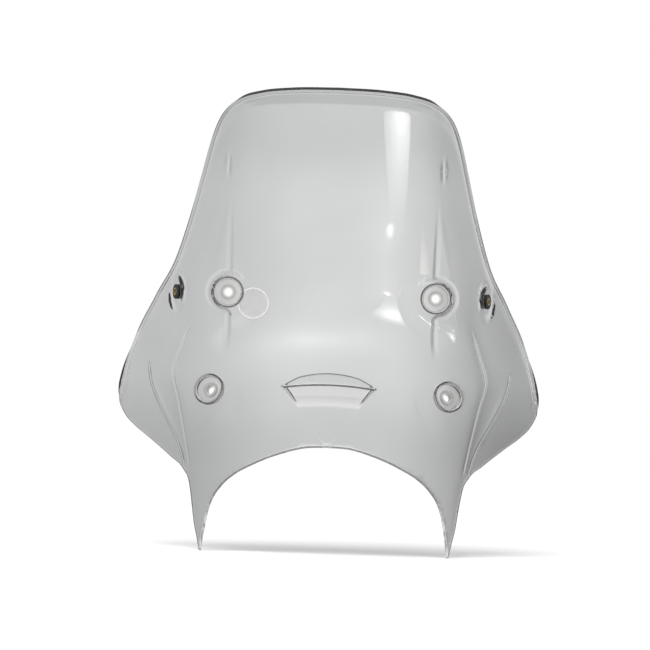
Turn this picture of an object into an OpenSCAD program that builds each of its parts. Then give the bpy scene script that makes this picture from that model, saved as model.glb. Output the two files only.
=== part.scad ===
// Touring motorcycle windshield: one clear moulded screen with its mounting hardware.
// +X is the viewer's right when facing the front of the screen, +Y points to the rider, +Z is up.
// The origin lies midway between the two upper mounting sleeves, on their seating plane.

/* [Screen] */
// Height from the leg tips to the top edge
screen_h = 490; // [470:1:510]
// Width across the two wings
screen_w = 448; // [436:1:460]
// Sheet thickness
sheet_t = 4; // [3.5:0.1:4.5]
// Radius of the face, seen from above
face_r = 430; // [400:5:500]
// Backward lean of the upper panel, in degrees
lean_deg = 7; // [5:0.5:9]
// Extra forward rake of the nose below the bend, in degrees
nose_deg = 28.5; // [24:0.5:32]
// How far the top lip curls forward, in degrees
lip_deg = 24; // [12:1:30]

/* [Mounting points] */
// Distance between the two upper mounting axes
upper_spacing = 220; // [216:1:224]
// Distance between the two lower mounting axes
lower_spacing = 254; // [250:1:258]
// Height of the upper axes over the lower axes
mount_rise = 103; // [99:1:107]
// Outward turn of the lower mounting faces, in degrees
lower_turn = 24; // [20:1:28]
// Backward tilt of the lower mounting faces, in degrees
lower_tilt = 13.5; // [10:0.5:16]
// Radius of the round hole for a cup grommet
cup_hole_r = 14.8; // [14:0.1:15.2]
// Radius of the hole through a mounting sleeve
sleeve_bore_r = 4.1; // [3.2:0.1:4.2]

/* [Side points] */
// Radius of the hole for a side grommet
side_hole_r = 6; // [5.5:0.1:6.5]
// Radius of the hole through a side sleeve
side_bore_r = 2.6; // [2.2:0.1:2.8]
// Angle between a side hole's axis and straight ahead, in degrees
side_turn = 68; // [64:1:70]

/* [Air vent] */
// Width of the vent at its lip
vent_w = 100; // [90:1:104]
// Depth of the vent floor behind the lip's front face
vent_depth = 15; // [13:0.5:17]

/* [Hidden] */
$fn = 72;

// The design outline is drawn for these sizes and scaled to screen_w and screen_h
design_w = 448;
design_h = 490;
kx = screen_w / design_w;
kz = screen_h / design_h;

// Outline of one half as [distance from the middle, height over the leg tip]
top_edge = [
    [0, 490], [50, 488.5], [80, 485], [104, 478], [118, 469], [127, 456], [134, 437],
    [142, 405], [153, 360], [167, 312], [190, 266], [209, 224], [220, 184], [224, 160]
];
arch_edge = [
    [0, 114.5], [25, 112.8], [48, 106.5], [66, 99.5], [82, 91.5], [97, 82.5],
    [112, 68], [120, 55], [124.5, 41], [127.5, 24], [131.4, 0]
];
wing_edge = [
    [131.4, 0], [134.5, 14], [138.5, 31], [142, 55], [145, 71], [151, 83],
    [165, 95.5], [190, 115], [205, 126], [217, 138], [224, 150]
];
leg_s = 131.4;
tip_s = 224;

// Shoulder where the face turns into the side, as [height, distance from the middle]
shoulder = [
    [0, 136], [60, 141], [110, 150], [156, 160], [184, 166.5], [215, 158],
    [252, 148], [283, 146], [372, 122], [461, 110], [500, 106]
];
// Crease where the side turns out into the ear
ear_crease = [
    [0, 150], [96, 153], [183, 192], [193, 193], [214, 181], [234, 174], [273, 180], [320, 190]
];
// Slope added at the shoulder and at the crease, by height
shoulder_turn = [[0, 0.9], [100, 1.1], [184, 1.35], [272, 1.55], [372, 1.6], [490, 1.5]];
ear_turn = [[0, 0], [90, -0.5], [190, -0.85], [234, -0.5], [290, 0], [490, 0]];

// Heights that shape the profile
bend_z = 225;
bend_soft = 16;
lip_band = 14;
upper_z = 272;
lower_z = upper_z - mount_rise;

// Long pocket outboard of each upper mounting point: its inner edge by height
pocket_edge = [[200, 112], [240, 110], [272, 110], [330, 111], [380, 113], [415, 116]];
pocket_end_z = 226;
pocket_drop = 8;
pocket_lean = 0.09;

// Mounting hardware
pad_r = 18;
sunk_soft = 22;
proud_soft = 6;
cup_flange_r = 16.6;
cup_wall = 1.5;
cup_floor_t = 3.4;
cup_depth = 6;
sleeve_wall = 1.9;
sleeve_flange_r = 8.2;
sleeve_flange_t = 1;
seat_gap = 1;
side_pad_r = 11;
side_flange_r = 8;
side_flange_t = 1.5;
side_s = 166;
side_z = 271;
side_wall = 1.5;

// Label disc
label_r = 16.5;
label_x = -83;
label_z = 261;
label_t = 0.5;

function softplus(t) = t > 30 ? t : ln(1 + exp(t));
function hinge(a, w) = w * softplus(a / w);
function ease(a, b, t) =
    let (q = min(1, max(0, (t - a) / (b - a))))
    q * q * (3 - 2 * q);

// Slope at knot i of the curve through pts
function knot_slope(pts, i) =
    let (n = len(pts) - 1)
    i == 0 ? (pts[1][1] - pts[0][1]) / (pts[1][0] - pts[0][0]) :
    i == n ? (pts[n][1] - pts[n - 1][1]) / (pts[n][0] - pts[n - 1][0]) :
    let (
        h0 = pts[i][0] - pts[i - 1][0],
        h1 = pts[i + 1][0] - pts[i][0],
        d0 = (pts[i][1] - pts[i - 1][1]) / h0,
        d1 = (pts[i + 1][1] - pts[i][1]) / h1
    )
    (d0 * h1 + d1 * h0) / (h0 + h1);

function span_of(pts, x, i = 0) = i >= len(pts) - 2 || x < pts[i + 1][0] ? i : span_of(pts, x, i + 1);

// Smooth curve through pts, read at x
function curve(pts, x) =
    let (
        i = span_of(pts, x),
        h = pts[i + 1][0] - pts[i][0],
        t = min(1, max(0, (x - pts[i][0]) / h)),
        m0 = knot_slope(pts, i),
        m1 = knot_slope(pts, i + 1)
    )
    (2 * t * t * t - 3 * t * t + 1) * pts[i][1] + (t * t * t - 2 * t * t + t) * h * m0
    + (3 * t * t - 2 * t * t * t) * pts[i + 1][1] + (t * t * t - t * t) * h * m1;

// Front face of the plain sheet: depth at distance s from the middle and height z
function nose_slope(s) = tan(nose_deg) * (1 - 0.8 * ease(30, 150, s));
function plain_y(s, z) =
    tan(lean_deg) * (z - upper_z)
    - nose_slope(s) * hinge(bend_z - z, bend_soft)
    + s * s / (2 * face_r)
    + lookup(z, shoulder_turn) * hinge(s - curve(shoulder, z), 8)
    + lookup(z, ear_turn) * hinge(s - lookup(z, ear_crease), 2.5);

function lip_y(s, z) = -tan(lip_deg) * hinge(lip_band - (curve(top_edge, s) - z), 2);

upper_s = upper_spacing / 2;
lower_s = lower_spacing / 2;

// An upper pad is level with the face at its inner side and stands proud of the pocket
pad_y = (upper_s - pad_r) * (upper_s - pad_r) / (2 * face_r) + 0.7;

// Pocket floor, which is flatter than the sheet round it
function pocket_floor(s, z) = pad_y + pocket_drop + pocket_lean * (z - upper_z) + 0.05 * (s - upper_s);
function pocket_y(s, z) =
    let (side = ease(-4, 4, s - curve(pocket_edge, z)), foot = ease(-22, 22, z - pocket_end_z))
    side * foot * hinge(pocket_floor(s, z) - plain_y(s, z), 1.2);

// Depth with a flat pad at pad_at blended in, at distance r from its axis
function with_pad(y, pad_at, r) =
    let (soft = pad_at > y ? sunk_soft : proud_soft)
    y + (1 - ease(pad_r + 1, pad_r + 1 + soft, r)) * (pad_at - y);

lower_y = plain_y(lower_s, lower_z);
side_y = plain_y(side_s, side_z);

function sheet_y(s, z) =
    let (
        y0 = plain_y(s, z) + pocket_y(s, z) + lip_y(s, z),
        r_low = norm([(s - lower_s) / cos(lower_turn), (z - lower_z) / cos(lower_tilt)]),
        r_side = norm([(s - side_s) / cos(side_turn), z - side_z]),
        y_low = lower_y + tan(lower_turn) * (s - lower_s)
            + tan(lower_tilt) / cos(lower_turn) * (z - lower_z),
        y_side = side_y + tan(side_turn) * (s - side_s),
        y1 = with_pad(y0, pad_y, norm([s - upper_s, z - upper_z])),
        y2 = with_pad(y1, y_low, r_low)
    )
    y2 + (1 - ease(side_pad_r + 3, side_pad_r + 12, r_side)) * (y_side - y2);

// Sheet thickness measured along Y, so that it is sheet_t across the sheet
function sheet_depth(s, z) =
    let (
        d = 0.5,
        gx = (sheet_y(s + d, z) - sheet_y(s - d, z)) / (2 * d),
        gz = (sheet_y(s, z + d) - sheet_y(s, z - d)) / (2 * d)
    )
    sheet_t * min(2.3, sqrt(1 + gx * gx + gz * gz));

// Where the frame's origin sits in outline coordinates: the sleeves' seating plane
seat_y = pad_y + cup_depth + cup_floor_t + seat_gap;
function place(x, y, z) = [x * kx, y - seat_y, (z - upper_z) * kz];

function steps(a, b, n) = [for (i = [0 : n - 1]) a + (b - a) * i / n];
half_columns = concat(
    steps(0, 92, 10), steps(92, leg_s, 10), steps(leg_s, 155, 7),
    steps(155, 177, 7), steps(177, tip_s, 8), [tip_s]
);
columns = concat(
    [for (i = [len(half_columns) - 1 : -1 : 1]) -half_columns[i]],
    half_columns
);

// Heights of one column: the first rows reach the middle line, the rest reach the top edge
waist_z = 152;
low_rows = 10;
high_rows = 22;
function foot_z(s) = s <= leg_s ? curve(arch_edge, s) : curve(wing_edge, s);
function column_heights(s) =
    let (a = foot_z(s), b = waist_z, c = curve(top_edge, s))
    concat(steps(a, b, low_rows), steps(b, c, high_rows), [c]);

// Closed solid between two grids of points with the same number of rows and columns
module thick_patch(front, back) {
    m = len(front);
    n = len(front[0]);
    base = m * n;
    points = concat([for (r = front) each r], [for (r = back) each r]);
    function f(i, j) = i * n + j;
    function halves(k, a, b, c, d) = [[k + a, k + b, k + c], [k + a, k + c, k + d]];
    faces = concat(
        [for (i = [0 : m - 2]) for (j = [0 : n - 2])
            each halves(0, f(i, j), f(i, j + 1), f(i + 1, j + 1), f(i + 1, j))],
        [for (i = [0 : m - 2]) for (j = [0 : n - 2])
            each halves(base, f(i, j), f(i + 1, j), f(i + 1, j + 1), f(i, j + 1))],
        [for (i = [0 : m - 2]) [f(i, 0), f(i + 1, 0), base + f(i + 1, 0), base + f(i, 0)]],
        [for (i = [0 : m - 2]) [f(i + 1, n - 1), f(i, n - 1), base + f(i, n - 1), base + f(i + 1, n - 1)]],
        [for (j = [0 : n - 2]) [f(0, j + 1), f(0, j), base + f(0, j), base + f(0, j + 1)]],
        [for (j = [0 : n - 2]) [f(m - 1, j), f(m - 1, j + 1), base + f(m - 1, j + 1), base + f(m - 1, j)]]
    );
    polyhedron(points = points, faces = faces, convexity = 8);
}

module plain_sheet() {
    front = [for (x = columns) [for (z = column_heights(abs(x))) place(x, sheet_y(abs(x), z), z)]];
    back = [for (x = columns) [for (z = column_heights(abs(x)))
        place(x, sheet_y(abs(x), z) + sheet_depth(abs(x), z), z)]];
    thick_patch(front, back);
}

// Puts children at a mounting point, with +Z pointing out of the front of the sheet
module at_upper(side) {
    translate([side * upper_s, pad_y - seat_y, 0])
        rotate([90, 0, 0])
            children();
}
module at_lower(side) {
    translate([side * lower_s, lower_y - seat_y, -mount_rise])
        rotate([0, 0, side * lower_turn])
            rotate([90 - lower_tilt, 0, 0])
                children();
}
module at_side(side) {
    translate([side * side_s * kx, side_y - seat_y, (side_z - upper_z) * kz])
        rotate([0, 0, side * side_turn])
            rotate([90, 0, 0])
                children();
}
module at_every_pad() {
    for (side = [-1, 1]) {
        at_upper(side) children();
        at_lower(side) children();
    }
}

// Cylinder along +Z from z0 to z1
module disc(r, z0, z1) {
    translate([0, 0, z0])
        cylinder(r = r, h = z1 - z0);
}

// Vent: a trapezium under an arched lip, with a floor that ramps back behind the lip
vent_top_z = 179;
vent_foot_z = 156;
vent_foot_half = 32;
vent_sag = 4;
vent_run = 1.15;
function vent_half(v) = vent_foot_half + (vent_w / 2 - vent_foot_half) * min(v, 1);
function vent_lip_z(x) = vent_top_z - vent_sag * (2 * x / vent_w) * (2 * x / vent_w);
function vent_z(x, v) = vent_foot_z - 3 * (x / 40) * (x / 40) * (1 - min(v, 1))
    + v * (vent_lip_z(x) - vent_foot_z);
function vent_point(u, v, back) =
    let (
        x = u * vent_half(v),
        z = vent_z(x, v),
        wall = min(1, (1 - abs(u)) / 0.05),
        drop = 0.4 + vent_depth * ease(-0.05, 1, v) * wall
    )
    place(x, sheet_y(abs(x), z) + drop + back, z);

module vent_scoop() {
    us = [-1, -0.95, -0.7, -0.45, -0.2, 0, 0.2, 0.45, 0.7, 0.95, 1];
    vs = [for (k = [0 : 14]) -0.1 + (vent_run + 0.1) * k / 14];
    front = [for (u = us) [for (v = vs) vent_point(u, v, 0)]];
    back = [for (u = us) [for (v = vs) vent_point(u, v, 3.2)]];
    thick_patch(front, back);
}

// Hole in the sheet in front of the vent floor
module vent_hole() {
    top = [for (x = [-0.97 : 0.194 : 0.971]) [x * vent_w / 2, vent_lip_z(x * vent_w / 2)]];
    foot = vent_foot_half * 0.97;
    outline = concat(top, [[foot, vent_z(foot, 0)], [0, vent_foot_z], [-foot, vent_z(foot, 0)]]);
    translate([0, 0, -upper_z * kz])
        rotate([90, 0, 0])
            translate([0, 0, -20])
                linear_extrude(height = 180)
                    polygon([for (p = outline) [p[0] * kx, p[1] * kz]]);
}

module windscreen() {
    color([0.84, 0.87, 0.88, 0.45])
        difference() {
            union() {
                difference() {
                    plain_sheet();
                    vent_hole();
                    at_every_pad() disc(pad_r - 1, -sheet_t - 8, 8);
                    for (side = [-1, 1]) at_side(side) disc(side_pad_r - 1, -sheet_t - 6, 6);
                }
                vent_scoop();
                at_every_pad() disc(pad_r, -sheet_t - 0.2, 0.2);
                for (side = [-1, 1]) at_side(side) disc(side_pad_r, -sheet_t - 0.2, 0.2);
            }
            at_every_pad() disc(cup_hole_r, -sheet_t - 2, 2);
            for (side = [-1, 1]) at_side(side) disc(side_hole_r, -sheet_t - 2, 2);
        }
}

// Clear dished grommet: rim on the front, groove round the sheet, floor with the sleeve's hole
module cup_grommet() {
    front = 0.2;
    rear = -sheet_t - 0.2;
    floor_top = -cup_depth;
    floor_low = -cup_depth - cup_floor_t;
    sleeve_r = sleeve_bore_r + sleeve_wall;
    inner = cup_hole_r - cup_wall;
    color([0.9, 0.92, 0.93, 0.5])
        rotate_extrude()
            polygon([
                [sleeve_r, floor_low], [cup_hole_r, floor_low], [cup_flange_r, rear - 1.2],
                [cup_flange_r, rear], [cup_hole_r, rear], [cup_hole_r, front],
                [cup_flange_r, front], [cup_flange_r, front + 0.6], [cup_flange_r - 0.8, front + 1.2],
                [inner + 0.5, front + 1.2], [inner, front + 0.6],
                [inner, floor_top + 0.8], [inner - 0.8, floor_top], [sleeve_r, floor_top]
            ]);
}

// Flanged sleeve that the screw clamps against the bracket
module sleeve() {
    outer = sleeve_bore_r + sleeve_wall;
    color([0.93, 0.93, 0.9, 0.7])
        difference() {
            union() {
                disc(sleeve_flange_r, -cup_depth, -cup_depth + sleeve_flange_t);
                disc(outer, -cup_depth - cup_floor_t - seat_gap, -cup_depth + sleeve_flange_t / 2);
            }
            disc(sleeve_bore_r, -cup_depth - 10, 5);
        }
}

// Black rubber grommet in a side hole, with a brass sleeve
side_sleeve_r = side_bore_r + side_wall;
module side_grommet() {
    front = 0.2;
    rear = -sheet_t - 0.2;
    color([0.08, 0.08, 0.08])
        rotate_extrude()
            polygon([
                [side_sleeve_r, rear - side_flange_t], [side_flange_r - 0.5, rear - side_flange_t],
                [side_flange_r, rear - side_flange_t + 0.5], [side_flange_r, rear], [side_hole_r, rear],
                [side_hole_r, front], [side_flange_r, front], [side_flange_r, front + side_flange_t - 0.5],
                [side_flange_r - 0.5, front + side_flange_t], [side_sleeve_r, front + side_flange_t]
            ]);
}
module side_sleeve() {
    reach = 0.2 + side_flange_t + 0.3;
    color([0.72, 0.6, 0.34])
        difference() {
            disc(side_sleeve_r, -sheet_t - reach, reach);
            disc(side_bore_r, -sheet_t - reach - 1, reach + 1);
        }
}

// Blank round film stuck to the front face
module label_disc() {
    xs = [for (k = [-5 : 5]) label_x + k * 3.6];
    zs = [for (k = [-5 : 5]) label_z + k * 3.6];
    front = [for (x = xs) [for (z = zs) place(x, sheet_y(abs(x), z) - label_t, z)]];
    back = [for (x = xs) [for (z = zs) place(x, sheet_y(abs(x), z) + 0.05, z)]];
    color([0.8, 0.8, 0.78, 0.5])
        intersection() {
            thick_patch(front, back);
            translate([label_x * kx, 60, (label_z - upper_z) * kz])
                rotate([90, 0, 0])
                    cylinder(r = label_r, h = 120);
        }
}

windscreen();
at_upper(-1) cup_grommet();  // upper_left_cup_grommet
at_upper(1) cup_grommet();  // upper_right_cup_grommet
at_lower(-1) cup_grommet();  // lower_left_cup_grommet
at_lower(1) cup_grommet();  // lower_right_cup_grommet
at_upper(-1) sleeve();  // upper_left_sleeve
at_upper(1) sleeve();  // upper_right_sleeve
at_lower(-1) sleeve();  // lower_left_sleeve
at_lower(1) sleeve();  // lower_right_sleeve
at_side(-1) side_grommet();  // left_side_grommet
at_side(1) side_grommet();  // right_side_grommet
at_side(-1) side_sleeve();  // left_side_sleeve
at_side(1) side_sleeve();  // right_side_sleeve
label_disc();
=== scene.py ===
import bmesh
import bpy
import math
import numpy as np
from mathutils import Matrix, Vector
from mathutils.geometry import delaunay_2d_cdt
from mathutils.kdtree import KDTree


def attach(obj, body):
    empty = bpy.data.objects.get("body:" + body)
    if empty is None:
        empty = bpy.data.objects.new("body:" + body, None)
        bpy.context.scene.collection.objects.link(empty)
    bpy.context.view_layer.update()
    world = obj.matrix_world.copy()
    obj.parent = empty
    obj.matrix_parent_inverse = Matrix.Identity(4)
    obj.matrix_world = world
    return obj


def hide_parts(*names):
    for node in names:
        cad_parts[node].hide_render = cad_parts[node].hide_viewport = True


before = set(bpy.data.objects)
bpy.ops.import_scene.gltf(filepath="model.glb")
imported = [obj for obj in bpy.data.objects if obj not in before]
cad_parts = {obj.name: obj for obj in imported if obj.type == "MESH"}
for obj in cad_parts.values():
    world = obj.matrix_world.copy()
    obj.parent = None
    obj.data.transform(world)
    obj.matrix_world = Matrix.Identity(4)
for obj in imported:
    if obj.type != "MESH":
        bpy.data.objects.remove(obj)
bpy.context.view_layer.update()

MM = 0.001


# ---------------------------------------------------------------- sheet shape, in mm
# s is the distance from the middle line and z the height over the leg tips.
def tan(d):
    return math.tan(math.radians(d))


def cos(d):
    return math.cos(math.radians(d))


TOP_EDGE = [
    (0, 490), (50, 488.5), (80, 485), (104, 478), (118, 469), (127, 456), (134, 437),
    (142, 405), (153, 360), (167, 312), (190, 266), (209, 224), (220, 184), (224, 160),
]
ARCH_EDGE = [
    (0, 114.5), (25, 112.8), (48, 106.5), (66, 99.5), (82, 91.5), (97, 82.5),
    (112, 68), (120, 55), (124.5, 41), (127.5, 24), (131.4, 0),
]
WING_EDGE = [
    (131.4, 0), (134.5, 14), (138.5, 31), (142, 55), (145, 71), (151, 83),
    (165, 95.5), (190, 115), (205, 126), (217, 138), (224, 150),
]
LEG_S, TIP_S = 131.4, 224
SHOULDER = [
    (0, 136), (60, 141), (110, 150), (156, 160), (184, 166.5), (215, 158),
    (252, 148), (283, 146), (372, 122), (461, 110), (500, 106),
]
EAR_CREASE = [
    (0, 150), (96, 153), (183, 192), (193, 193), (214, 181), (234, 174), (273, 180), (320, 190),
]
EAR_KINK = [
    (0, 150), (96, 153), (160, 180), (188, 189.5), (216, 182), (240, 176), (273, 180), (320, 190),
]
SHOULDER_TURN = [(0, 0.9), (100, 1.1), (184, 1.35), (272, 1.55), (372, 1.6), (490, 1.5)]
EAR_TURN = [(0, 0), (90, -0.5), (190, -0.85), (234, -0.5), (290, 0), (490, 0)]
POCKET_EDGE = [(200, 112), (240, 110), (272, 110), (330, 111), (380, 113), (415, 116)]
LEAN, NOSE, LIP, FACE_R = 7, 28.5, 24, 430
BEND_Z, BEND_SOFT, LIP_BAND = 225, 16, 14
EDGE_CURL, EDGE_BAND = 38, 5.5
POCKET_FOOT_Z, POCKET_TIP_S, POCKET_TIP_Z = 226, 115.5, 408
UPPER_S, UPPER_Z, LOWER_S, LOWER_Z = 110, 272, 127, 169
LOWER_TURN, LOWER_TILT, SIDE_TURN, SIDE_S, SIDE_Z, SIDE_PAD = 24, 13.5, 68, 166, 271, 11
PAD_R, SUNK_SOFT, PROUD_SOFT = 17.5, 23.5, 7
GATE_Z, GATE_R = 122.5, 8.4
SHEET_T = 4.0
CUP_DEPTH, CUP_FLOOR, SEAT_GAP = 6, 3.4, 1
CUP_HOLE, SIDE_HOLE = 14.8, 6.0


def softplus(t):
    """0 far below 0, t far above 0, and smooth between."""
    return np.logaddexp(0.0, t)


def hinge(a, w):
    """Ramp that rises from 0 where a is positive, its corner rounded over about w."""
    return w * softplus(a / w)


def ease(a, b, t):
    """0 before a, 1 after b, and an S-curve between."""
    q = np.clip((t - a) / (b - a), 0, 1)
    return q * q * (3 - 2 * q)


def curve(pts, x):
    """Smooth cubic curve through the knots, read at x."""
    k = np.array(pts, float)
    kx, ky = k[:, 0], k[:, 1]
    h = np.diff(kx)
    d = np.diff(ky) / h
    m = np.empty(len(k))
    m[0], m[-1] = d[0], d[-1]
    m[1:-1] = (d[:-1] * h[1:] + d[1:] * h[:-1]) / (h[:-1] + h[1:])
    x = np.asarray(x, float)
    i = np.clip(np.searchsorted(kx, x, side="right") - 1, 0, len(h) - 1)
    t = np.clip((x - kx[i]) / h[i], 0, 1)
    return ((2 * t**3 - 3 * t**2 + 1) * ky[i] + (t**3 - 2 * t**2 + t) * h[i] * m[i]
            + (3 * t**2 - 2 * t**3) * ky[i + 1] + (t**3 - t**2) * h[i] * m[i + 1])


def nose_slope(s):
    """How steeply the nose rakes forward below the bend, less so towards the sides."""
    return tan(NOSE) * (1 - 0.8 * ease(30, 150, s))


def plain_y(s, z):
    """Depth of the bare sheet: its lean, nose, cross curve, and the bends at shoulder and ear."""
    return (tan(LEAN) * (z - UPPER_Z) - nose_slope(s) * hinge(BEND_Z - z, BEND_SOFT)
            + s * s / (2 * FACE_R)
            + curve(SHOULDER_TURN, z) * hinge(s - curve(SHOULDER, z), 3.5 + 4.5 * ease(225, 300, z))
            + curve(EAR_TURN, z) * hinge(s - curve(EAR_KINK, z), 1.5 + 4.5 * ease(150, 220, z)))


def lip_y(s, z):
    """Curl of the top lip, with a second and sharper one along its middle part's edge."""
    inside_edge = curve(TOP_EDGE, s) - z
    flat = 1 - ease(96, 128, s)
    return (-tan(LIP) * hinge(LIP_BAND - inside_edge, 2.4 - 1.5 * flat)
            - tan(EDGE_CURL) * flat * hinge(EDGE_BAND - inside_edge, 0.6))


PAD_Y = 92 * 92 / (2 * FACE_R) + 0.7  # depth of the upper cups' flat pads


def pocket_y(s, z):
    """Depth that the long pocket round and above each upper cup adds to the bare sheet."""
    floor = PAD_Y + 8 + 0.105 * (z - UPPER_Z) + 0.05 * (s - UPPER_S)
    outside = ease(-3.6, 3.6, s - curve(POCKET_EDGE, z))
    ends = ease(-22, 22, z - POCKET_FOOT_Z) * (1 - ease(POCKET_TIP_Z, POCKET_TIP_Z + 10, z))
    return outside * ends * hinge(floor - plain_y(s, z), 0.7)


LOWER_Y = float(plain_y(LOWER_S, LOWER_Z))
SIDE_Y = float(plain_y(SIDE_S, SIDE_Z))
SEAT_Y = PAD_Y + CUP_DEPTH + CUP_FLOOR + SEAT_GAP


def with_pad(y, pad, r):
    """Depth with a flat pad blended in, at distance r from its axis."""
    sunk = 1 - ease(PAD_R, PAD_R + SUNK_SOFT, r)
    proud = 1 - ease(PAD_R, PAD_R + PROUD_SOFT, r)
    return y + np.where(pad > y, sunk, proud) * (pad - y)


def fine_marks(s, z):
    """Small dents: the half-round gate mark, the shoulder's line, the pocket's tip and the ear's crease."""
    gate = 0.6 * (1 - ease(119, 123, z)) * np.exp(-((np.hypot(s, 1.2 * (z - GATE_Z)) - GATE_R) / 0.6) ** 2)
    ridge = np.exp(-((s - curve(SHOULDER, z)) / 1.2) ** 2)
    tip = 1.7 * np.exp(-((s - POCKET_TIP_S) / 1.9) ** 2 - ((z - POCKET_TIP_Z) / 9) ** 2)
    crease = np.exp(-((s - curve(EAR_CREASE, z)) / 0.7) ** 2)
    low_end = ease(84, 96, z)
    return (gate + 0.5 * low_end * (1 - ease(225, 245, z)) * ridge
            + tip + 0.9 * low_end * (1 - ease(186, 200, z)) * crease)


def sheet_y(x, z):
    """Depth of the front face."""
    s = np.abs(np.asarray(x, float))
    z = np.asarray(z, float)
    y = plain_y(s, z) + pocket_y(s, z) + lip_y(s, z)
    y = with_pad(y, PAD_Y, np.hypot(s - UPPER_S, z - UPPER_Z))
    low = (LOWER_Y + tan(LOWER_TURN) * (s - LOWER_S)
           + tan(LOWER_TILT) / cos(LOWER_TURN) * (z - LOWER_Z))
    y = with_pad(y, low, np.hypot((s - LOWER_S) / cos(LOWER_TURN), (z - LOWER_Z) / cos(LOWER_TILT)))
    y = y + fine_marks(s, z)
    w_side = 1 - ease(SIDE_PAD + 3, SIDE_PAD + 12, np.hypot((s - SIDE_S) / cos(SIDE_TURN), z - SIDE_Z))
    return y + w_side * (SIDE_Y + tan(SIDE_TURN) * (s - SIDE_S) - y)


def normal(x, z, d=0.4):
    """Unit vectors through the sheet, from the front face to the back face."""
    gx = (sheet_y(x + d, z) - sheet_y(x - d, z)) / (2 * d)
    gz = (sheet_y(x, z + d) - sheet_y(x, z - d)) / (2 * d)
    n = np.stack([-gx, np.ones_like(gx), -gz], axis=-1)
    return n / np.linalg.norm(n, axis=-1, keepdims=True)


def place(x, y, z):
    """Points in the shared frame, in mm."""
    return np.stack([np.asarray(x, float), y - SEAT_Y, np.asarray(z, float) - UPPER_Z], axis=-1)


# ---------------------------------------------------------------- vent
VENT_TOP, VENT_FOOT, VENT_FOOT_HALF, VENT_HALF, VENT_SAG, VENT_DEEP = 179, 156, 32, 50, 4, 15


def vent_point(u, v):
    """(x, z, drop behind the sheet's front face) of the vent floor."""
    half = VENT_FOOT_HALF + (VENT_HALF - VENT_FOOT_HALF) * np.minimum(v, 1)
    x = u * half
    lip = VENT_TOP - VENT_SAG * (x / VENT_HALF) ** 2
    foot = VENT_FOOT - 3 * (x / 40) ** 2 * (1 - np.minimum(v, 1))
    z = foot + v * (lip - foot)
    wall = ease(0, 1, np.minimum(1, (1 - np.abs(u)) / 0.075))
    return x, z, VENT_DEEP * ease(-0.02, 1, v) * wall


# ---------------------------------------------------------------- mesh helpers
def inset(loop, d):
    """Moves a closed loop of (x, z) points, listed counter-clockwise, inwards by d."""
    p = np.array(loop, float)
    t = np.roll(p, -1, axis=0) - np.roll(p, 1, axis=0)
    t /= np.linalg.norm(t, axis=1, keepdims=True) + 1e-12
    return p + d * np.stack([-t[:, 1], t[:, 0]], axis=1)


def resample(pts, step):
    """Points along a polyline at an even step, both ends kept."""
    p = np.array(pts, float)
    seg = np.linalg.norm(np.diff(p, axis=0), axis=1)
    at = np.concatenate([[0], np.cumsum(seg)])
    n = max(2, int(round(at[-1] / step)) + 1)
    want = np.linspace(0, at[-1], n)
    return np.stack([np.interp(want, at, p[:, 0]), np.interp(want, at, p[:, 1])], axis=1)


def outline():
    """Outer edge of the sheet, counter-clockwise from the arch's middle, its tips slightly round."""
    s1 = np.linspace(0, LEG_S - 1.2, 90)
    arch = np.stack([s1, curve(ARCH_EDGE, s1)], axis=1)
    leg = np.array([[LEG_S - 0.6, 0.9], [LEG_S, 0.4], [LEG_S + 0.6, 1.6]])
    s2 = np.linspace(LEG_S + 1.0, TIP_S - 1.5, 90)
    wing = np.stack([s2, curve(WING_EDGE, s2) + 0.3], axis=1)
    tip = np.array([[TIP_S - 0.3, 151.5], [TIP_S, 154.5], [TIP_S - 0.1, 158]])
    z3 = np.linspace(161, 470, 200)
    side_s = np.array([_top_s(z) for z in z3])
    side = np.stack([side_s, z3], axis=1)
    s4 = np.linspace(side_s[-1], 0, 80)[1:]
    top = np.stack([s4, curve(TOP_EDGE, s4)], axis=1)
    half = np.concatenate([arch, leg, wing, tip, side, top])
    half = resample(half, 2.2)
    other = half[::-1][1:-1] * [-1, 1]
    return np.concatenate([half, other])


def _top_s(z):
    """Distance from the middle at which the top edge has height z."""
    a, b = 0.0, float(TIP_S)
    for _ in range(40):
        m = (a + b) / 2
        if curve(TOP_EDGE, m) > z:
            a = m
        else:
            b = m
    return a


def ring(cx, cz, r, turn, n, tilt=0.0):
    """Round hole of radius r in a face swung sideways by turn and leaned back by tilt, from the front."""
    a = np.linspace(0, 2 * math.pi, n, endpoint=False)
    u, v = r * np.cos(a), r * np.sin(a)
    swing = math.sin(math.radians(turn)) * math.sin(math.radians(tilt))
    return np.stack([cx + u * cos(turn) - v * swing, cz + v * cos(tilt)], axis=1)


def inside(poly, pts):
    """Even-odd test of many points against a closed polygon."""
    x, y = pts[:, 0], pts[:, 1]
    hit = np.zeros(len(pts), bool)
    q = np.roll(poly, -1, axis=0)
    for (x0, y0), (x1, y1) in zip(poly, q):
        if y0 == y1:
            continue
        cross = ((y0 > y) != (y1 > y)) & (x < (x1 - x0) * (y - y0) / (y1 - y0) + x0)
        hit ^= cross
    return hit


def far_from(pts, lines, gap):
    """Keeps the points further than gap from every point of the lines."""
    ref = np.concatenate(lines)
    keep = np.ones(len(pts), bool)
    for i in range(0, len(pts), 4000):
        d = np.hypot(pts[i:i + 4000, None, 0] - ref[None, :, 0], pts[i:i + 4000, None, 1] - ref[None, :, 1])
        keep[i:i + 4000] = d.min(axis=1) > gap
    return pts[keep]


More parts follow.
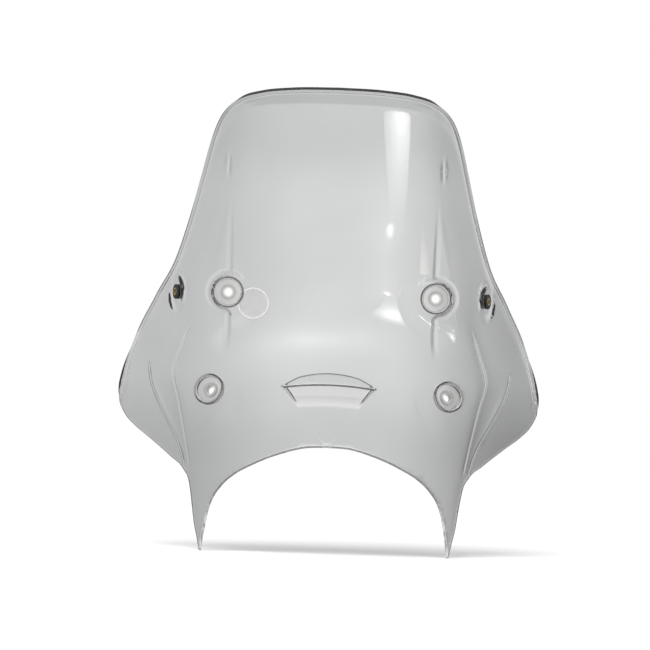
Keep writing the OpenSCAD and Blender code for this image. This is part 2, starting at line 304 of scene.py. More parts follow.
def edge_groove(xz):
    """Depth of the fine line that runs round the top and the sides, just inside the edge."""
    ref = resample(np.concatenate([outline(), outline()[:1]]), 0.5)
    tree = KDTree(len(ref))
    for i, (x, z) in enumerate(ref):
        tree.insert((x, z, 0), i)
    tree.balance()
    d = np.array([tree.find((x, z, 0))[2] for x, z in xz])
    return 0.8 * np.exp(-((d - EDGE_LINE) / 0.55) ** 2) * ease(158, 185, xz[:, 1])


def make_object(name, verts, faces, mat, smooth_angle=40):
    """Object with smooth faces, and sharp edges where they meet at more than smooth_angle."""
    mesh = bpy.data.meshes.new(name)
    mesh.from_pydata([tuple(v) for v in verts], [], [tuple(int(i) for i in f) for f in faces])
    mesh.validate()
    mesh.update()
    mesh.polygons.foreach_set("use_smooth", [True] * len(mesh.polygons))
    mesh.set_sharp_from_angle(angle=math.radians(smooth_angle))
    mesh.materials.append(mat)
    obj = bpy.data.objects.new(name, mesh)
    bpy.context.scene.collection.objects.link(obj)
    return obj


# ---------------------------------------------------------------- materials
def new_material(name):
    """The material, its nodes and links, and its Principled shader."""
    mat = bpy.data.materials.new(name)
    mat.use_nodes = True
    nodes, links = mat.node_tree.nodes, mat.node_tree.links
    return mat, nodes, links, nodes["Principled BSDF"]


def mottled(nodes, links, bsdf, socket, low, high, scale):
    """Drives a socket with object-space noise between low and high."""
    coord = nodes.new("ShaderNodeTexCoord")
    noise = nodes.new("ShaderNodeTexNoise")
    noise.inputs["Scale"].default_value = scale
    noise.inputs["Detail"].default_value = 3.0
    ramp = nodes.new("ShaderNodeMapRange")
    ramp.inputs["From Min"].default_value = 0.35
    ramp.inputs["From Max"].default_value = 0.65
    ramp.inputs["To Min"].default_value = low
    ramp.inputs["To Max"].default_value = high
    links.new(coord.outputs["Object"], noise.inputs["Vector"])
    links.new(noise.outputs["Fac"], ramp.inputs["Value"])
    links.new(ramp.outputs["Result"], bsdf.inputs[socket])


def tinted(nodes, links, bsdf, a, b, scale):
    """Drives the base colour with object-space noise between a and b."""
    coord = nodes.new("ShaderNodeTexCoord")
    noise = nodes.new("ShaderNodeTexNoise")
    noise.inputs["Scale"].default_value = scale
    noise.inputs["Detail"].default_value = 2.0
    ramp = nodes.new("ShaderNodeValToRGB")
    ramp.color_ramp.elements[0].position = 0.35
    ramp.color_ramp.elements[0].color = (*a, 1)
    ramp.color_ramp.elements[1].position = 0.65
    ramp.color_ramp.elements[1].color = (*b, 1)
    links.new(coord.outputs["Object"], noise.inputs["Vector"])
    links.new(noise.outputs["Fac"], ramp.inputs["Fac"])
    links.new(ramp.outputs["Color"], bsdf.inputs["Base Color"])


def clear_plastic(name, a, b, ior, rough, scale=9.0):
    """Tinted clear material, its colour between a and b and its roughness between the two in rough."""
    mat, nodes, links, bsdf = new_material(name)
    bsdf.inputs["Transmission Weight"].default_value = 1.0
    bsdf.inputs["IOR"].default_value = ior
    tinted(nodes, links, bsdf, a, b, scale)
    mottled(nodes, links, bsdf, "Roughness", rough[0], rough[1], 40.0)
    return mat


SMOOTH = (0.015, 0.04)
polycarbonate = clear_plastic(
    "clear_polycarbonate", (0.635, 0.64, 0.641), (0.675, 0.68, 0.681), 1.58, SMOOTH)
# painted shade: the cut edge along the top and the sides is tinted darker than the sheet
edge_shade = clear_plastic(
    "polycarbonate_shaded_rim", (0.42, 0.43, 0.44), (0.50, 0.51, 0.52), 1.58, (0.18, 0.28), 60.0)
# painted shade: this dark tint on the fine lines and on the ear's crease stands in for the shade in these
# grooves
line_shade = clear_plastic(
    "polycarbonate_shaded_line", (0.22, 0.23, 0.24), (0.30, 0.31, 0.32), 1.58, (0.15, 0.25), 60.0)
vent_floor = clear_plastic(
    "polycarbonate_floor", (0.72, 0.725, 0.72), (0.76, 0.765, 0.76), 1.58, SMOOTH)
vent_tongue = clear_plastic(
    "polycarbonate_tongue", (0.97, 0.97, 0.97), (0.985, 0.985, 0.985), 1.58, SMOOTH)
# painted light: the cut edge along the arch, the legs, the vent's lip and the holes is tinted pale, with a
# diffuse share set below
edge_light = clear_plastic(
    "polycarbonate_lit_rim", (0.88, 0.89, 0.89), (0.91, 0.92, 0.92), 1.58, (0.05, 0.09))
silicone = clear_plastic(
    "clear_silicone", (0.66, 0.66, 0.655), (0.70, 0.70, 0.695), 1.41, (0.05, 0.10), 60.0)
nylon = clear_plastic(
    "natural_nylon", (0.78, 0.78, 0.765), (0.83, 0.83, 0.815), 1.53, (0.16, 0.24), 120.0)
film = clear_plastic(
    "clear_film", (0.94, 0.94, 0.93), (0.97, 0.97, 0.96), 1.47, (0.16, 0.24), 150.0)
film_rim = clear_plastic(
    "clear_film_rim", (0.95, 0.95, 0.94), (0.97, 0.97, 0.96), 1.47, (0.16, 0.24), 150.0)
for mat, share in ((film, 0.92), (film_rim, 0.55), (edge_light, 0.74)):
    mat.node_tree.nodes["Principled BSDF"].inputs["Transmission Weight"].default_value = share

rubber, nodes, links, bsdf = new_material("black_rubber")
tinted(nodes, links, bsdf, (0.012, 0.012, 0.012), (0.024, 0.024, 0.023), 220.0)
mottled(nodes, links, bsdf, "Roughness", 0.5, 0.68, 300.0)

brass, nodes, links, bsdf = new_material("brass")
bsdf.inputs["Metallic"].default_value = 1.0
tinted(nodes, links, bsdf, (0.50, 0.40, 0.19), (0.62, 0.50, 0.25), 200.0)
mottled(nodes, links, bsdf, "Roughness", 0.28, 0.42, 260.0)


# ---------------------------------------------------------------- screen
EDGE_R = 0.6  # rounding of every free edge
EDGE_LINE = 3.6  # how far the fine line lies inside the edge
RIM_ANGLES = (20, 45, 70)
GRID = 1.5
TONGUE_RUN = 0.42
SHEET, RIM_SHADE, FLOOR, LINE_SHADE, TONGUE, RIM_LIGHT = range(6)
FINE_LINES = [
    (EAR_CREASE, np.arange(86, 202, 1.1), (-1.6, -1.0, -0.5, 0, 0.5, 1.0, 1.6)),
    (SHOULDER, np.arange(86, 246, 1.3), (-2.4, -1.6, -0.8, 0, 0.8, 1.6, 2.4)),
    (POCKET_EDGE, np.arange(296, 420, 1.1), (-3, -2, -1, 0, 1, 2, 3)),
]


def round_holes():
    """Edges of the four cup holes and the two side holes."""
    holes = []
    for side in (-1, 1):
        holes.append(ring(side * UPPER_S, UPPER_Z, CUP_HOLE + EDGE_R, 0, 64))
        holes.append(ring(side * LOWER_S, LOWER_Z, CUP_HOLE + EDGE_R, side * LOWER_TURN, 64, LOWER_TILT))
        holes.append(ring(side * SIDE_S, SIDE_Z, SIDE_HOLE + 0.4, side * SIDE_TURN, 40))
    return holes


def vent_grid():
    """Stations across the vent, and its floor as grids of x, z and drop."""
    near_wall = np.array([0.925, 0.94, 0.955, 0.97, 0.985, 1])
    across = np.concatenate([-near_wall[::-1], np.linspace(-0.88, 0.88, 37), near_wall])
    u, v = np.meshgrid(across, np.linspace(0, 1, 17))
    return across, vent_point(u, v)


LIP_U = np.linspace(1, -1, 51)[1:-1]


def vent_loop(grid_x, grid_z):
    """Edge of the vent's opening: foot, right side, lip and left side."""
    lip_x, lip_z, _ = vent_point(LIP_U, np.ones_like(LIP_U))
    foot = zip(grid_x[0], grid_z[0])
    right = zip(grid_x[1:, -1], grid_z[1:, -1])
    left = zip(grid_x[:0:-1, 0], grid_z[:0:-1, 0])
    return np.array([*foot, *right, *zip(lip_x, lip_z), *left])


def face_points(outer, cutouts):
    """Points on the face, closer together where it bends quickly."""
    gx, gz = np.arange(-226, 226.1, GRID), np.arange(-2, 492, GRID)
    x, z = np.meshgrid(gx, gz)
    i, j = np.meshgrid(np.arange(len(gx)), np.arange(len(gz)))
    e = 2.0
    bend = (np.abs(sheet_y(x + e, z) - 2 * sheet_y(x, z) + sheet_y(x - e, z))
            + np.abs(sheet_y(x, z + e) - 2 * sheet_y(x, z) + sheet_y(x, z - e))) / e**2
    coarse = (i % 4 == 0) & (j % 4 == 0)
    middle = (i % 2 == 0) & (j % 2 == 0) & (bend > 0.004)
    keep = coarse | middle | (bend > 0.02)
    pts = np.stack([x[keep], z[keep]], axis=1)
    pts = pts[inside(outer, pts)]
    for loop in cutouts:
        pts = pts[~inside(loop, pts)]
    return pts


def line_points(outer):
    """Rows of points along the fine lines, close enough together to keep them crisp."""
    rows = [np.stack([side * (curve(knots, run) + d), run], axis=1)
            for knots, run, offsets in FINE_LINES for side in (-1, 1) for d in offsets]
    full = outline()
    upper = resample(full[full[:, 1] > 162], 1.1)
    edge = np.concatenate([inset(upper, EDGE_LINE + d) for d in (-1.2, -0.7, -0.35, 0, 0.35, 0.7, 1.2)])
    squash = 1.2
    gate = np.concatenate([ring(0, GATE_Z, GATE_R + d, 0, 44) for d in (-1.2, -0.6, 0, 0.6, 1.2)])
    gate = gate * [1, 1 / squash] + [0, GATE_Z - GATE_Z / squash]
    parts = []
    for pts, gap in ((np.concatenate(rows), 1.0), (edge, 1.0), (gate, 0.8)):
        parts.append(pts[inside(inset(outer, gap), pts)])
    return np.concatenate(parts)


def cut_sheet(loops, pts):
    """Points and counter-clockwise triangles between the loops, and where each loop point went."""
    coords, edges = [], []
    for loop in loops:
        base, n = len(coords), len(loop)
        coords += [tuple(p) for p in loop]
        edges += [(base + i, base + (i + 1) % n) for i in range(n)]
    coords += [tuple(p) for p in pts]
    found, _, faces, origins, _, _ = delaunay_2d_cdt([Vector(c) for c in coords], edges, [], 0, 1e-5, True)
    xz = np.array([(v[0], v[1]) for v in found])
    tris = np.array([list(f) for f in faces])
    centre = xz[tris].mean(axis=1)
    keep = inside(loops[0], centre)
    for loop in loops[1:]:
        keep &= ~inside(loop, centre)
    tris = tris[keep]
    a, b, c = (xz[tris[:, k]] for k in range(3))
    area = (b[:, 0] - a[:, 0]) * (c[:, 1] - a[:, 1]) - (b[:, 1] - a[:, 1]) * (c[:, 0] - a[:, 0])
    tris = np.where((area > 0)[:, None], tris, tris[:, [0, 2, 1]])
    went_to = {old: new for new, olds in enumerate(origins) for old in olds}
    return xz, tris, went_to


def quads_of(index):
    """Faces between the rows of a grid of point numbers."""
    corners = [index[:-1, :-1], index[:-1, 1:], index[1:, 1:], index[1:, :-1]]
    return np.stack(corners, axis=-1).reshape(-1, 4).tolist()


def weld_vent(grid, first, went_to, count):
    """Point numbers of the vent floor, which shares its foot and both sides with the sheet.

    first is the number of the opening's first point and count the number of points so far."""
    nv, nu = grid[0].shape
    left_end = first + nu + (nv - 1) + len(LIP_U) + nv - 2
    index = -np.ones((nv, nu), int)
    index[0] = [went_to[first + i] for i in range(nu)]
    index[1:, -1] = [went_to[first + nu + j] for j in range(nv - 1)]
    index[1:, 0] = [went_to[left_end - j] for j in range(nv - 1)]
    new = index < 0
    index[new] = count + np.arange(new.sum())
    return index, [g[new] for g in grid]


def tongue_grid(across):
    """The floor's run behind the lip, as grids of x, z and drop."""
    grow = np.linspace(0, 1, 9)[1:, None]
    u = across * (1 - 0.30 * grow**2)
    x, z, _ = vent_point(u, 1 + TONGUE_RUN * grow)
    z = z - 3.0 * grow * (u / 0.7) ** 2
    return x, z, VENT_DEEP + 0.12 * (z - VENT_TOP)


def free_edges(faces):
    """Edges that belong to one face only, in that face's direction."""
    used = {}
    for face in faces:
        for a, b in zip(face, face[1:] + face[:1]):
            key = (min(a, b), max(a, b))
            used[key] = None if key in used else (a, b)
    return [edge for edge in used.values() if edge is not None]


def rounded_rim(front, thick, free):
    """Points of a rounded rim over the free edges, and the numbers of the strip across each edge point."""
    after = {a: b for a, b in free}
    before = {b: a for a, b in free}
    arc = [(EDGE_R * math.sin(math.radians(a)), EDGE_R * (1 - math.cos(math.radians(a)))) for a in RIM_ANGLES]
    points, strips = [], {}
    count = 2 * len(front)
    for k in after:
        along = front[after[k]] - front[before[k]]
        depth = np.linalg.norm(thick[k])
        through = thick[k] / depth
        # the face lies to the left of its edge, so outwards is to the right
        outwards = np.cross(along / np.linalg.norm(along), -through)
        outwards /= np.linalg.norm(outwards)
        flat = [(EDGE_R, EDGE_R + (depth - 2 * EDGE_R) * m) for m in (0.0, 0.5, 1.0)]
        strip = arc + flat + [(out, depth - into) for out, into in reversed(arc)]
        points += [front[k] + outwards * out + through * into for out, into in strip]
        strips[k] = [k, *range(count, count + len(strip)), len(front) + k]
        count += len(strip)
    return points, strips


def rim_kind(point):
    """Painted light along the arch, the legs, the vent's lip and the holes, where the edge is tinted pale,
    and painted shade along the top and the sides, where it is tinted darker.
    """
    s, z = abs(point[0]), point[2] + UPPER_Z
    low = z < VENT_TOP + 14 and s < (140 if z < 82 else 100)
    to_hole = min(math.hypot(s - UPPER_S, z - UPPER_Z), math.hypot(s - LOWER_S, z - LOWER_Z),
                  2.4 * math.hypot(s - SIDE_S, z - SIDE_Z))
    return RIM_LIGHT if low or to_hole < 20 else RIM_SHADE


def screen_mesh():
    """Points, faces and each face's material number."""
    outer = inset(outline(), EDGE_R)
    across, grid = vent_grid()
    loops = [outer, vent_loop(grid[0], grid[1])] + round_holes()
    lines = line_points(outer)
    pts = np.concatenate([far_from(face_points(outer, loops[1:]), [lines], 0.7), lines])
    xz, tris, went_to = cut_sheet(loops, far_from(pts, loops, 0.9))

    # vent floor and the tongue behind the lip
    floor, floor_at = weld_vent(grid, len(outer), went_to, len(xz))
    middle = np.abs(across) <= 0.925
    tongue_at = tongue_grid(across[middle])
    first = len(xz) + len(floor_at[0])
    tongue = first + np.arange(tongue_at[0].size).reshape(tongue_at[0].shape)
    floor_faces, tongue_faces = quads_of(floor), quads_of(np.vstack([floor[-1, middle], tongue]))

    line_depth = edge_groove(xz)
    x, z, drop = (np.concatenate([a, b, c.ravel()])
                  for a, b, c in zip((xz[:, 0], xz[:, 1], 0 * line_depth), floor_at, tongue_at))
    across_sheet = normal(x, z, 2.5)
    line_depth = np.concatenate([line_depth, np.zeros(len(x) - len(xz))])[:, None]
    front = place(x, sheet_y(x, z) + drop, z) + across_sheet * line_depth
    thick = (SHEET_T - line_depth) * across_sheet

    faces = tris.tolist() + floor_faces + tongue_faces
    free = free_edges(faces)
    rim_points, strips = rounded_rim(front, thick, free)
    n = len(front)
    all_faces = faces + [[n + i for i in reversed(face)] for face in faces]
    vent_kind = [FLOOR] * len(floor_faces) + [TONGUE] * len(tongue_faces)
    centre = xz[tris].mean(axis=1)
    # painted shade: faces on the ear's crease and on the edge's fine line take the dark line tint
    crease_shade_mask = ((np.abs(np.abs(centre[:, 0]) - curve(EAR_CREASE, centre[:, 1])) < 0.6)
                 & (np.abs(centre[:, 1] - 142) < 54))
    line_shade_mask = crease_shade_mask | (edge_groove(centre) > 0.62)
    kind = np.where(line_shade_mask, LINE_SHADE, SHEET).tolist() + vent_kind + [SHEET] * len(tris) + vent_kind
    for a, b in free:
        band = [(p, q, r, t) for p, q, r, t in zip(strips[a], strips[a][1:], strips[b][1:], strips[b])]
        all_faces += band
        kind += [rim_kind(front[a])] * len(band)
    return np.concatenate([front, front + thick, rim_points]) * MM, all_faces, kind


verts, faces, kind = screen_mesh()
screen = make_object("screen_shell", verts, faces, polycarbonate, 60)
for mat in (edge_shade, vent_floor, line_shade, vent_tongue, edge_light):
    screen.data.materials.append(mat)
screen.data.polygons.foreach_set("material_index", kind)
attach(screen, "root")
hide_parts("windscreen")


# ---------------------------------------------------------------- turned pieces
def rounded(profile, r, n=4):
    """Rounds the corners of a closed profile of (radius, z) points."""
    out = []
    m = len(profile)
    for i in range(m):
        p0, p, p1 = (np.array(profile[(i + k) % m], float) for k in (-1, 0, 1))
        a, b = p0 - p, p1 - p
        la, lb = np.linalg.norm(a), np.linalg.norm(b)
        cut = min(r, la * 0.45, lb * 0.45)
        pa, pb = p + a / la * cut, p + b / lb * cut
        for k in range(n + 1):
            t = k / n
            out.append((1 - t) ** 2 * pa + 2 * t * (1 - t) * p + t * t * pb)
    return np.array(out)


def lathe(name, profile, mat, matrix, n=96, smooth=35):
    """Turned piece round local Z from a closed (radius, z) profile."""
    m = len(profile)
    verts, faces = [], []
    for k in range(n):
        a = 2 * math.pi * k / n
        for r, z in profile:
            verts.append((r * math.cos(a) * MM, r * math.sin(a) * MM, z * MM))
    for k in range(n):
        for i in range(m):
            a, b = k * m + i, k * m + (i + 1) % m
            c, d = ((k + 1) % n) * m + (i + 1) % m, ((k + 1) % n) * m + i
            faces.append((a, d, c, b))
    obj = make_object(name, verts, faces, mat, smooth)
    obj.data.transform(matrix)
    bm = bmesh.new()
    bm.from_mesh(obj.data)
    bmesh.ops.recalc_face_normals(bm, faces=bm.faces)
    bm.to_mesh(obj.data)
    bm.free()
    return obj


def at(x, y, z, turn, tilt=0.0):
    """Local +Z points out of the front face; turn swings it sideways and tilt leans it back, in degrees."""
    return (Matrix.Translation(Vector((x * MM, (y - SEAT_Y) * MM, (z - UPPER_Z) * MM)))
            @ Matrix.Rotation(math.radians(turn), 4, "Z") @ Matrix.Rotation(math.radians(90 - tilt), 4, "X"))


rear = -SHEET_T - 0.2
cup_low = -CUP_DEPTH - CUP_FLOOR
cup_profile = rounded([
    (6.0, cup_low), (14.8, cup_low), (16.6, rear - 1.2), (16.6, rear), (14.7, rear), (14.7, 0.05),
    (16.6, 0.05), (16.6, 0.9), (16.0, 1.4), (13.9, 1.4), (13.3, 0.8), (13.3, -5.2), (12.5, -6.0), (6.0, -6.0),
], 0.45)
sleeve_profile = rounded([
    (4.1, cup_low - SEAT_GAP), (5.95, cup_low - SEAT_GAP), (5.95, -5.98), (8.2, -5.98),
    (8.2, -5.0), (4.1, -5.0),
], 0.3)
side_profile = rounded([
    (4.1, rear - 1.5), (7.5, rear - 1.5), (8.0, rear - 1.0), (8.0, rear), (6.0, rear), (6.0, 0.05),
    (8.0, 0.05), (8.0, 1.2), (7.5, 1.7), (4.1, 1.7),
], 0.5)
side_sleeve_profile = rounded([(2.6, rear - 1.8), (4.08, rear - 1.8), (4.08, 2.0), (2.6, 2.0)], 0.2)

for side, word in ((-1, "left"), (1, "right")):
    spots = {
        "upper": at(side * UPPER_S, PAD_Y, UPPER_Z, 0),
        "lower": at(side * LOWER_S, LOWER_Y, LOWER_Z, side * LOWER_TURN, LOWER_TILT),
    }
    for level, matrix in spots.items():
        cup = lathe(f"{level}_{word}_cup", cup_profile, silicone, matrix)
        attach(cup, "root")
        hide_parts(f"{level}_{word}_cup_grommet")
        tube = lathe(f"{level}_{word}_tube", sleeve_profile, nylon, matrix)
        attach(tube, "root")
        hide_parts(f"{level}_{word}_sleeve")
    matrix = at(side * SIDE_S, SIDE_Y, SIDE_Z, side * SIDE_TURN)
    grommet = lathe(f"{word}_side_rubber", side_profile, rubber, matrix, 72)
    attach(grommet, "root")
    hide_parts(f"{word}_side_grommet")
    tube = lathe(f"{word}_side_tube", side_sleeve_profile, brass, matrix, 72)
    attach(tube, "root")
    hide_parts(f"{word}_side_sleeve")


# ---------------------------------------------------------------- label film
FILM_X, FILM_Z = -83.0, 261.0
FILM_REAR = 0.04
FILM_RIM = 15.2  # radius at which the whiter rim starts
FILM_RADII = (0.0, 2, 4, 6, 8, 10, 12, 13.5, 14.6, 15.4, 16.0, 16.35, 16.5)
FILM_LIFT = (0.34,) * 8 + (0.36, 0.44, 0.50, 0.44, 0.18)


def film_mesh():
    """Thin round film that follows the sheet, its front lifted most near the rim."""
    n = 96
    verts, faces = [], []

    def point(r, a, h):
        x, z = np.array(FILM_X + r * math.cos(a)), np.array(FILM_Z + r * math.sin(a))
        return place(x, sheet_y(x, z), z) - normal(x, z) * h

    for lifts in (FILM_LIFT, (FILM_REAR,) * len(FILM_LIFT)):
        verts.append(point(0, 0, lifts[0]))
        for r, h in zip(FILM_RADII[1:], lifts[1:]):
            for k in range(n):
                verts.append(point(r, 2 * math.pi * k / n, h))
    m = len(FILM_RADII) - 1
    half = 1 + m * n
    for off, flip in ((0, False), (half, True)):
        for k in range(n):
            f = (off, off + 1 + k, off + 1 + (k + 1) % n)
            faces.append(f[::-1] if flip else f)
            for j in range(m - 1):
                a, b = off + 1 + j * n + k, off + 1 + j * n + (k + 1) % n
                c, d = b + n, a + n
                f = (a, d, c, b)
                faces.append(f[::-1] if flip else f)
    for k in range(n):
        a, b = 1 + (m - 1) * n + k, 1 + (m - 1) * n + (k + 1) % n
        faces.append((a, half + a, half + b, b))
    return np.array(verts) * MM, faces


verts, faces = film_mesh()
label = make_object("label_film", verts, faces, film, 50)
label.data.materials.append(film_rim)
for poly in label.data.polygons:
    centre = Vector(poly.center) - Vector((FILM_X * MM, 0, (FILM_Z - UPPER_Z) * MM))
    poly.material_index = 1 if math.hypot(centre.x, centre.z) > FILM_RIM * MM else 0
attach(label, "root")
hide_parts("label_disc")


# ---------------------------------------------------------------- studio, in metres
FLOOR_Z = -0.2725
VIEW_WIDTH = 0.689  # how much the picture spans at the origin
VIEW_X, VIEW_Z = -0.0064, -0.0315
VIEW_ROLL = 1.93
SENSOR, LENS = 36, 300
CARD_X, CARD_LOW, CARD_HIGH, CARD_Y = 0.32, -0.37, 0.32, 0.45
scene = bpy.context.scene


def fill(tree, socket, value):
    """Sets the socket to a number, or links it to another node's output."""
    if not isinstance(value, (int, float)):
        tree.links.new(value, socket)
    elif socket.type == "RGBA":
        socket.default_value = (value, value, value, 1)
    else:
        socket.default_value = value


def maths(tree, operation, *values):
    node = tree.nodes.new("ShaderNodeMath")
    node.operation = operation
    for socket, value in zip(node.inputs, values):
        fill(tree, socket, value)
    return node.outputs[0]


def mix(tree, factor, a, b, blend="MIX"):
    node = tree.nodes.new("ShaderNodeMix")
    node.data_type, node.blend_type = "RGBA", blend
    fill(tree, node.inputs["Factor"], factor)
    fill(tree, node.inputs[6], a)
    fill(tree, node.inputs[7], b)
    return node.outputs[2]


def grey_ramp(tree, source, points):
    """Grey that eases from one (position, value) point to the next."""
    ramp = tree.nodes.new("ShaderNodeValToRGB")
    ramp.color_ramp.interpolation = "EASE"
    stops = ramp.color_ramp.elements
    stops[0].position, stops[0].color = points[0][0], (points[0][1],) * 3 + (1,)
    stops[1].position, stops[1].color = points[-1][0], (points[-1][1],) * 3 + (1,)
    for where, value in points[1:-1]:
        stops.new(where).color = (value,) * 3 + (1,)
    tree.links.new(source, ramp.inputs["Fac"])
    return ramp.outputs["Color"]


def smooth(tree, value, start, end, low, high):
    """Low before start, high after end, and an S-curve between them."""
    node = tree.nodes.new("ShaderNodeMapRange")
    node.interpolation_type = "SMOOTHSTEP"
    for key, number in (("From Min", start), ("From Max", end), ("To Min", low), ("To Max", high)):
        node.inputs[key].default_value = number
    tree.links.new(value, node.inputs["Value"])
    return node.outputs["Result"]


def blend_surface(tree, kind, *sources):
    """Joins the sources with a shader node of this kind and makes the result the surface."""
    node = tree.nodes.new(kind)
    for socket, source in zip(node.inputs, sources):
        tree.links.new(source, socket)
    tree.links.new(node.outputs["Shader"], tree.nodes["Material Output"].inputs["Surface"])


def bare_material(name):
    """Material without a surface, for a glowing panel."""
    mat = bpy.data.materials.new(name)
    mat.use_nodes = True
    mat.node_tree.nodes.remove(mat.node_tree.nodes["Principled BSDF"])
    return mat, mat.node_tree


def aimed(where, look):
    """Rotation that turns a lamp or panel at where towards look."""
    return (Vector(look) - Vector(where)).to_track_quat("-Z", "Y").to_euler()


def add_panel(name, corners, mat, where):
    """Flat panel that neither shows to the camera nor casts a shadow."""
    mesh = bpy.data.meshes.new(name)
    mesh.from_pydata(corners, [], [(0, 1, 2, 3)])
    mesh.materials.append(mat)
    panel = bpy.data.objects.new(name, mesh)
    scene.collection.objects.link(panel)
    panel.location = where
    panel.visible_camera = panel.visible_shadow = False
    return panel


def add_floor():
    """Pale floor that fades to pure white with the distance."""
    mat, nodes, links, bsdf = new_material("studio_floor")
    tinted(nodes, links, bsdf, (0.86, 0.86, 0.86), (0.88, 0.88, 0.88), 0.6)
    bsdf.inputs["Roughness"].default_value = 0.8
    coord, length = nodes.new("ShaderNodeTexCoord"), nodes.new("ShaderNodeVectorMath")
    length.operation = "LENGTH"
    links.new(coord.outputs["Object"], length.inputs[0])
    far = smooth(mat.node_tree, length.outputs["Value"], 0.7, 4.5, 0, 1)
    white = nodes.new("ShaderNodeEmission")
    blend_surface(mat.node_tree, "ShaderNodeMixShader", far, bsdf.outputs["BSDF"], white.outputs["Emission"])
    bpy.ops.mesh.primitive_circle_add(vertices=96, radius=40, fill_type="NGON", location=(0, 0, FLOOR_Z))
    floor = bpy.context.object
    floor.name = "studio_floor"
    floor.data.materials.append(mat)
    floor.visible_glossy = False
    floor.visible_transmission = False


def add_world():
    """White to the camera, and greys of their own for what is mirrored and what is seen through the sheet."""
    world = bpy.data.worlds.new("studio_world")
    scene.world = world
    world.use_nodes = True
    tree = world.node_tree
    coord = tree.nodes.new("ShaderNodeTexCoord")
    split = tree.nodes.new("ShaderNodeSeparateXYZ")
    tree.links.new(coord.outputs["Generated"], split.inputs["Vector"])
    # what is seen through the sheet: white straight ahead, greyer below and to the sides
    forward = maths(tree, "ABSOLUTE", split.outputs["Y"])
    ahead = grey_ramp(tree, forward, [(0.0, 0.86), (0.45, 0.66), (0.86, 0.74), (0.97, 1.0)])
    height = maths(tree, "MULTIPLY_ADD", split.outputs["Z"], 5.0, 0.5)
    lower = grey_ramp(tree, height, [(0.30, 0.74), (0.50, 0.80), (0.56, 1.0)])
    through = mix(tree, 1.0, ahead, lower, "MULTIPLY")
    # what the surfaces mirror: an even grey room, lighter overhead
    upwards = maths(tree, "MULTIPLY_ADD", split.outputs["Z"], 0.5, 0.5)
    room = grey_ramp(tree, upwards, [(0.0, 0.42), (0.5, 0.50), (1.0, 0.95)])
    path = tree.nodes.new("ShaderNodeLightPath")
    seen = mix(tree, path.outputs["Is Reflection Ray"], through, room)
    seen = mix(tree, path.outputs["Is Camera Ray"], seen, 1.0)
    back = tree.nodes["Background"]
    tree.links.new(seen, back.inputs["Color"])
    back.inputs["Strength"].default_value = 1.0


def softbox(name, where, look, w, h, strength, foot=1.0, slant=0.0, tint=(1, 1, 1)):
    """Glowing panel that fades towards its edges, seen only in reflections.

    foot is the share of its width that it keeps at the bottom, and slant leans its sides."""
    glow, tree = bare_material(name)
    nodes, links = tree.nodes, tree.links
    coord, fade = nodes.new("ShaderNodeTexCoord"), nodes.new("ShaderNodeTexGradient")
    fade.gradient_type = "QUADRATIC_SPHERE"
    shift = nodes.new("ShaderNodeMapping")
    shift.inputs["Location"].default_value = (-1.0, -1.0, 0)
    shift.inputs["Scale"].default_value = (2.0, 2.0, 0)
    emit, clear = nodes.new("ShaderNodeEmission"), nodes.new("ShaderNodeBsdfTransparent")
    emit.inputs["Color"].default_value = (*tint, 1)
    links.new(coord.outputs["Generated"], shift.inputs["Vector"])
    links.new(shift.outputs["Vector"], fade.inputs["Vector"])
    links.new(maths(tree, "MULTIPLY", fade.outputs["Fac"], strength), emit.inputs["Strength"])
    blend_surface(tree, "ShaderNodeAddShader", emit.outputs["Emission"], clear.outputs["BSDF"])
    low, high = w * foot / 2, w / 2
    corners = [(-low - slant, -h / 2, 0), (low - slant, -h / 2, 0),
               (high + slant, h / 2, 0), (slant - high, h / 2, 0)]
    panel = add_panel(name, corners, glow, where)
    panel.rotation_euler = aimed(where, look)
    panel.visible_transmission = False


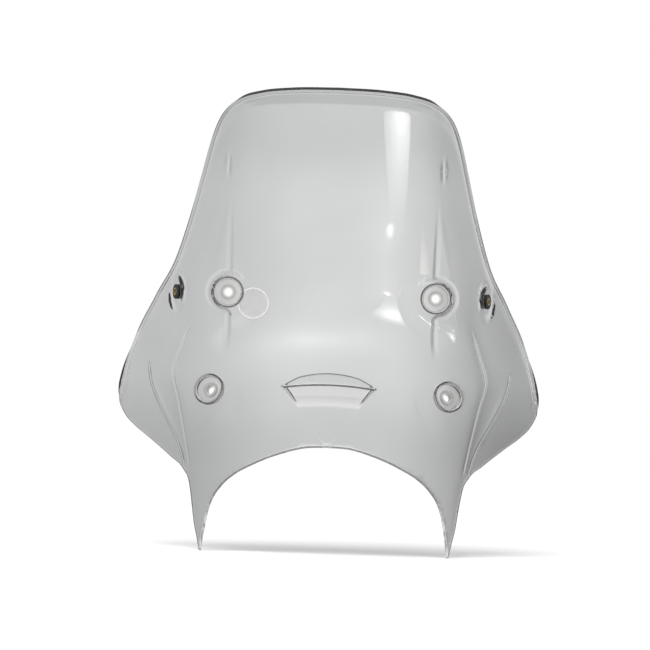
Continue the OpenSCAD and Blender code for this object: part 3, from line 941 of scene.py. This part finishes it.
def add_backdrop():
    """Glowing grey card behind the screen, seen only through the clear parts; its tone paints shade on the
    sheet, brightest in the middle and darker towards the sides, most on the right, and towards the top and
    the bottom.
    """
    card, tree = bare_material("backdrop")
    coord, split = tree.nodes.new("ShaderNodeTexCoord"), tree.nodes.new("ShaderNodeSeparateXYZ")
    tree.links.new(coord.outputs["Object"], split.inputs["Vector"])

    def joined(operation, parts):
        total, *rest = [smooth(tree, split.outputs[axis], *numbers) for axis, *numbers in parts]
        for part in rest:
            total = maths(tree, operation, total, part)
        return total

    # painted shade: these ramps darken what is seen through the sheet on both sides, most on the right, near
    # the top edge and towards the bottom
    painted_shade_tone = joined("ADD", [
        ("X", -0.20, -0.01, 0.78, 1.02), ("X", 0.06, 0.22, 0.0, -0.50),
        ("Z", 0.11, 0.185, 0.0, -0.10), ("Z", 0.217, 0.226, 0.0, -0.14), ("Z", -0.185, -0.08, -0.19, 0.0),
    ])
    cover = joined("MULTIPLY", [
        ("X", -0.31, -0.25, 0, 1), ("X", 0.31, 0.25, 0, 1),
        ("Z", -0.36, -0.30, 0, 1), ("Z", 0.31, 0.245, 0, 1),
    ])
    emit, clear = tree.nodes.new("ShaderNodeEmission"), tree.nodes.new("ShaderNodeBsdfTransparent")
    tree.links.new(painted_shade_tone, emit.inputs["Strength"])
    blend_surface(tree, "ShaderNodeMixShader", cover, clear.outputs["BSDF"], emit.outputs["Emission"])
    corners = [(-CARD_X, 0, CARD_LOW), (CARD_X, 0, CARD_LOW), (CARD_X, 0, CARD_HIGH), (-CARD_X, 0, CARD_HIGH)]
    obj = add_panel("backdrop", corners, card, (0, CARD_Y, 0))
    obj.visible_glossy = obj.visible_diffuse = False


def add_lamp(name, data, where, rotation):
    """Lamp that is not itself mirrored in the sheet."""
    lamp = bpy.data.objects.new(name, data)
    scene.collection.objects.link(lamp)
    lamp.location, lamp.rotation_euler = where, rotation
    lamp.visible_glossy = False
    lamp.visible_transmission = False


def add_lamps():
    left_at = (-2.4, -1.6, 1.4)
    area = bpy.data.lights.new("fill_left", "AREA")
    area.shape = "RECTANGLE"
    area.size, area.size_y, area.energy = 1.2, 1.6, 14
    add_lamp("fill_left", area, left_at, aimed(left_at, (0, 0, 0)))
    sun = bpy.data.lights.new("wash", "SUN")
    sun.energy, sun.angle = 1.9, math.radians(50)
    add_lamp("wash", sun, (0, 0, 0), (math.radians(28), math.radians(-14), 0))


def add_camera():
    """Straight on, through a long lens, and rolled a little."""
    data = bpy.data.cameras.new("camera")
    data.sensor_width, data.lens = SENSOR, LENS
    data.clip_start, data.clip_end = 0.1, 120
    camera = bpy.data.objects.new("camera", data)
    scene.collection.objects.link(camera)
    distance = VIEW_WIDTH * LENS / SENSOR
    camera.matrix_world = (Matrix.Translation((VIEW_X, -distance, VIEW_Z))
                           @ Matrix.Rotation(-math.radians(VIEW_ROLL), 4, "Y")
                           @ Matrix.Rotation(math.radians(90), 4, "X"))
    scene.camera = camera


scene.view_settings.view_transform = "Standard"
add_floor()
add_world()
add_backdrop()
softbox("overhead_box", (-0.30, -1.9, 1.75), (0, 0, 0.0), 4.4, 2.2, 3.0)
softbox("right_box", (0.89, -2.35, 0.93), (0.07, 0, 0.1), 0.95, 0.44, 13.0, 0.15, 0.03)
softbox("right_spot", (0.76, -2.35, 0.716), (0.07, 0, 0.1), 0.18, 0.022, 22.0)
softbox("warm_strip", (1.29, -2.35, 0.66), (0.1, 0, 0.07), 0.16, 0.30, 5.0, 1.0, 0.12, (1.0, 0.93, 0.82))
softbox("right_glow", (0.74, -2.4, 0.72), (0.07, 0, 0.1), 1.0, 0.34, 1.3)
add_lamps()
add_camera()
